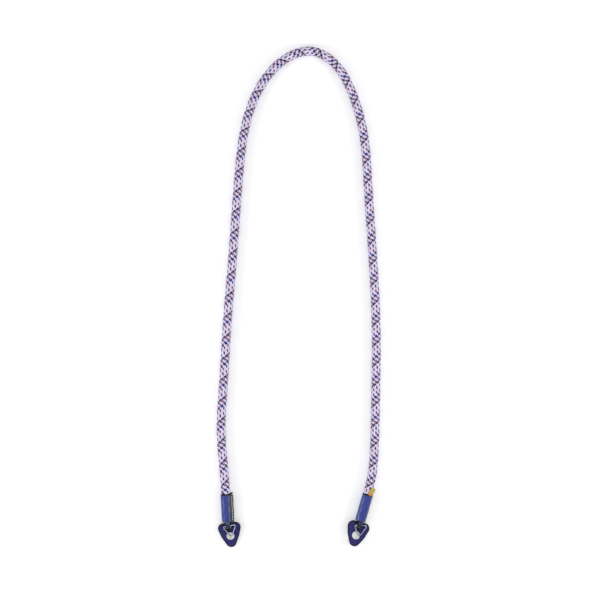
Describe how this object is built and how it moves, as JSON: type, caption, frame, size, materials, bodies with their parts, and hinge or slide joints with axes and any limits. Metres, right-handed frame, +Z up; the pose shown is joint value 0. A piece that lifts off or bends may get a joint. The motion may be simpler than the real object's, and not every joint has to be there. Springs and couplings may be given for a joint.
{
  "type": "rope neck strap",
  "caption": "Braided rope strap with leather sleeves, a triangular split ring and a holed leather pad at each end.",
  "frame": {"origin": "midway between the two leather ends, on the surface the strap lies on", "axes": "+X from the left end to the right end, +Y from the ends towards the loop of the rope, +Z up from the surface the strap lies on"},
  "size_m": [0.1629, 0.5029, 0.011],
  "materials": {
    "sheath": "braided polyester sheath, white with red, blue and navy tracer strands",
    "core": "twisted white core yarn",
    "wrap": "thin black shrink wrap round the rope's end",
    "thread": "waxed pale blue-grey thread",
    "sleeve_leather": "smooth royal blue leather, satin",
    "tongue_leather": "smooth dark blue leather, satin",
    "ring_metal": "polished spring steel wire, nickel plated",
    "pad_leather": "navy leather with a soft nap and a darker burnished edge",
    "tag": "gold woven ribbon"
  },
  "bodies": {
    "strap": {"left_end_wrap": "wrap", "left_seam_thread": "thread", "left_sleeve": "sleeve_leather", "left_tongue": "tongue_leather", "right_end_wrap": "wrap", "right_seam_thread": "thread", "right_sleeve": "sleeve_leather", "right_tag": "tag", "right_tongue": "tongue_leather", "rope_core_1": "core", "rope_core_2": "core", "rope_core_3": "core", "rope_sheath": "sheath"},
    "left_pad": {"left_lug_pad": "pad_leather"},
    "left_ring": {"left_split_ring": "ring_metal"},
    "right_pad": {"right_lug_pad": "pad_leather"},
    "right_ring": {"right_split_ring": "ring_metal"}
  },
  "joints": [
    {"name": "left_pad_tilt", "type": "hinge", "parent": "strap", "child": "left_pad", "pos_m": [-0.06805, -0.00848, 0.00605], "axis": [-0.9914, -0.1305, 0], "range_deg": [-6, 16]},
    {"name": "left_ring_swing", "type": "hinge", "parent": "left_pad", "child": "left_ring", "pos_m": [-0.06805, -0.00848, 0.00605], "axis": [-0.9803, -0.1977, 0], "range_deg": [0, 110]},
    {"name": "right_pad_tilt", "type": "hinge", "parent": "strap", "child": "right_pad", "pos_m": [0.06281, -0.00783, 0.00593], "axis": [-0.9278, 0.2842, 0.2419], "range_deg": [-6, 16]},
    {"name": "right_ring_swing", "type": "hinge", "parent": "right_pad", "child": "right_ring", "pos_m": [0.06281, -0.00783, 0.00593], "axis": [-0.9643, 0.1138, 0.2389], "range_deg": [0, 110]}
  ]
}
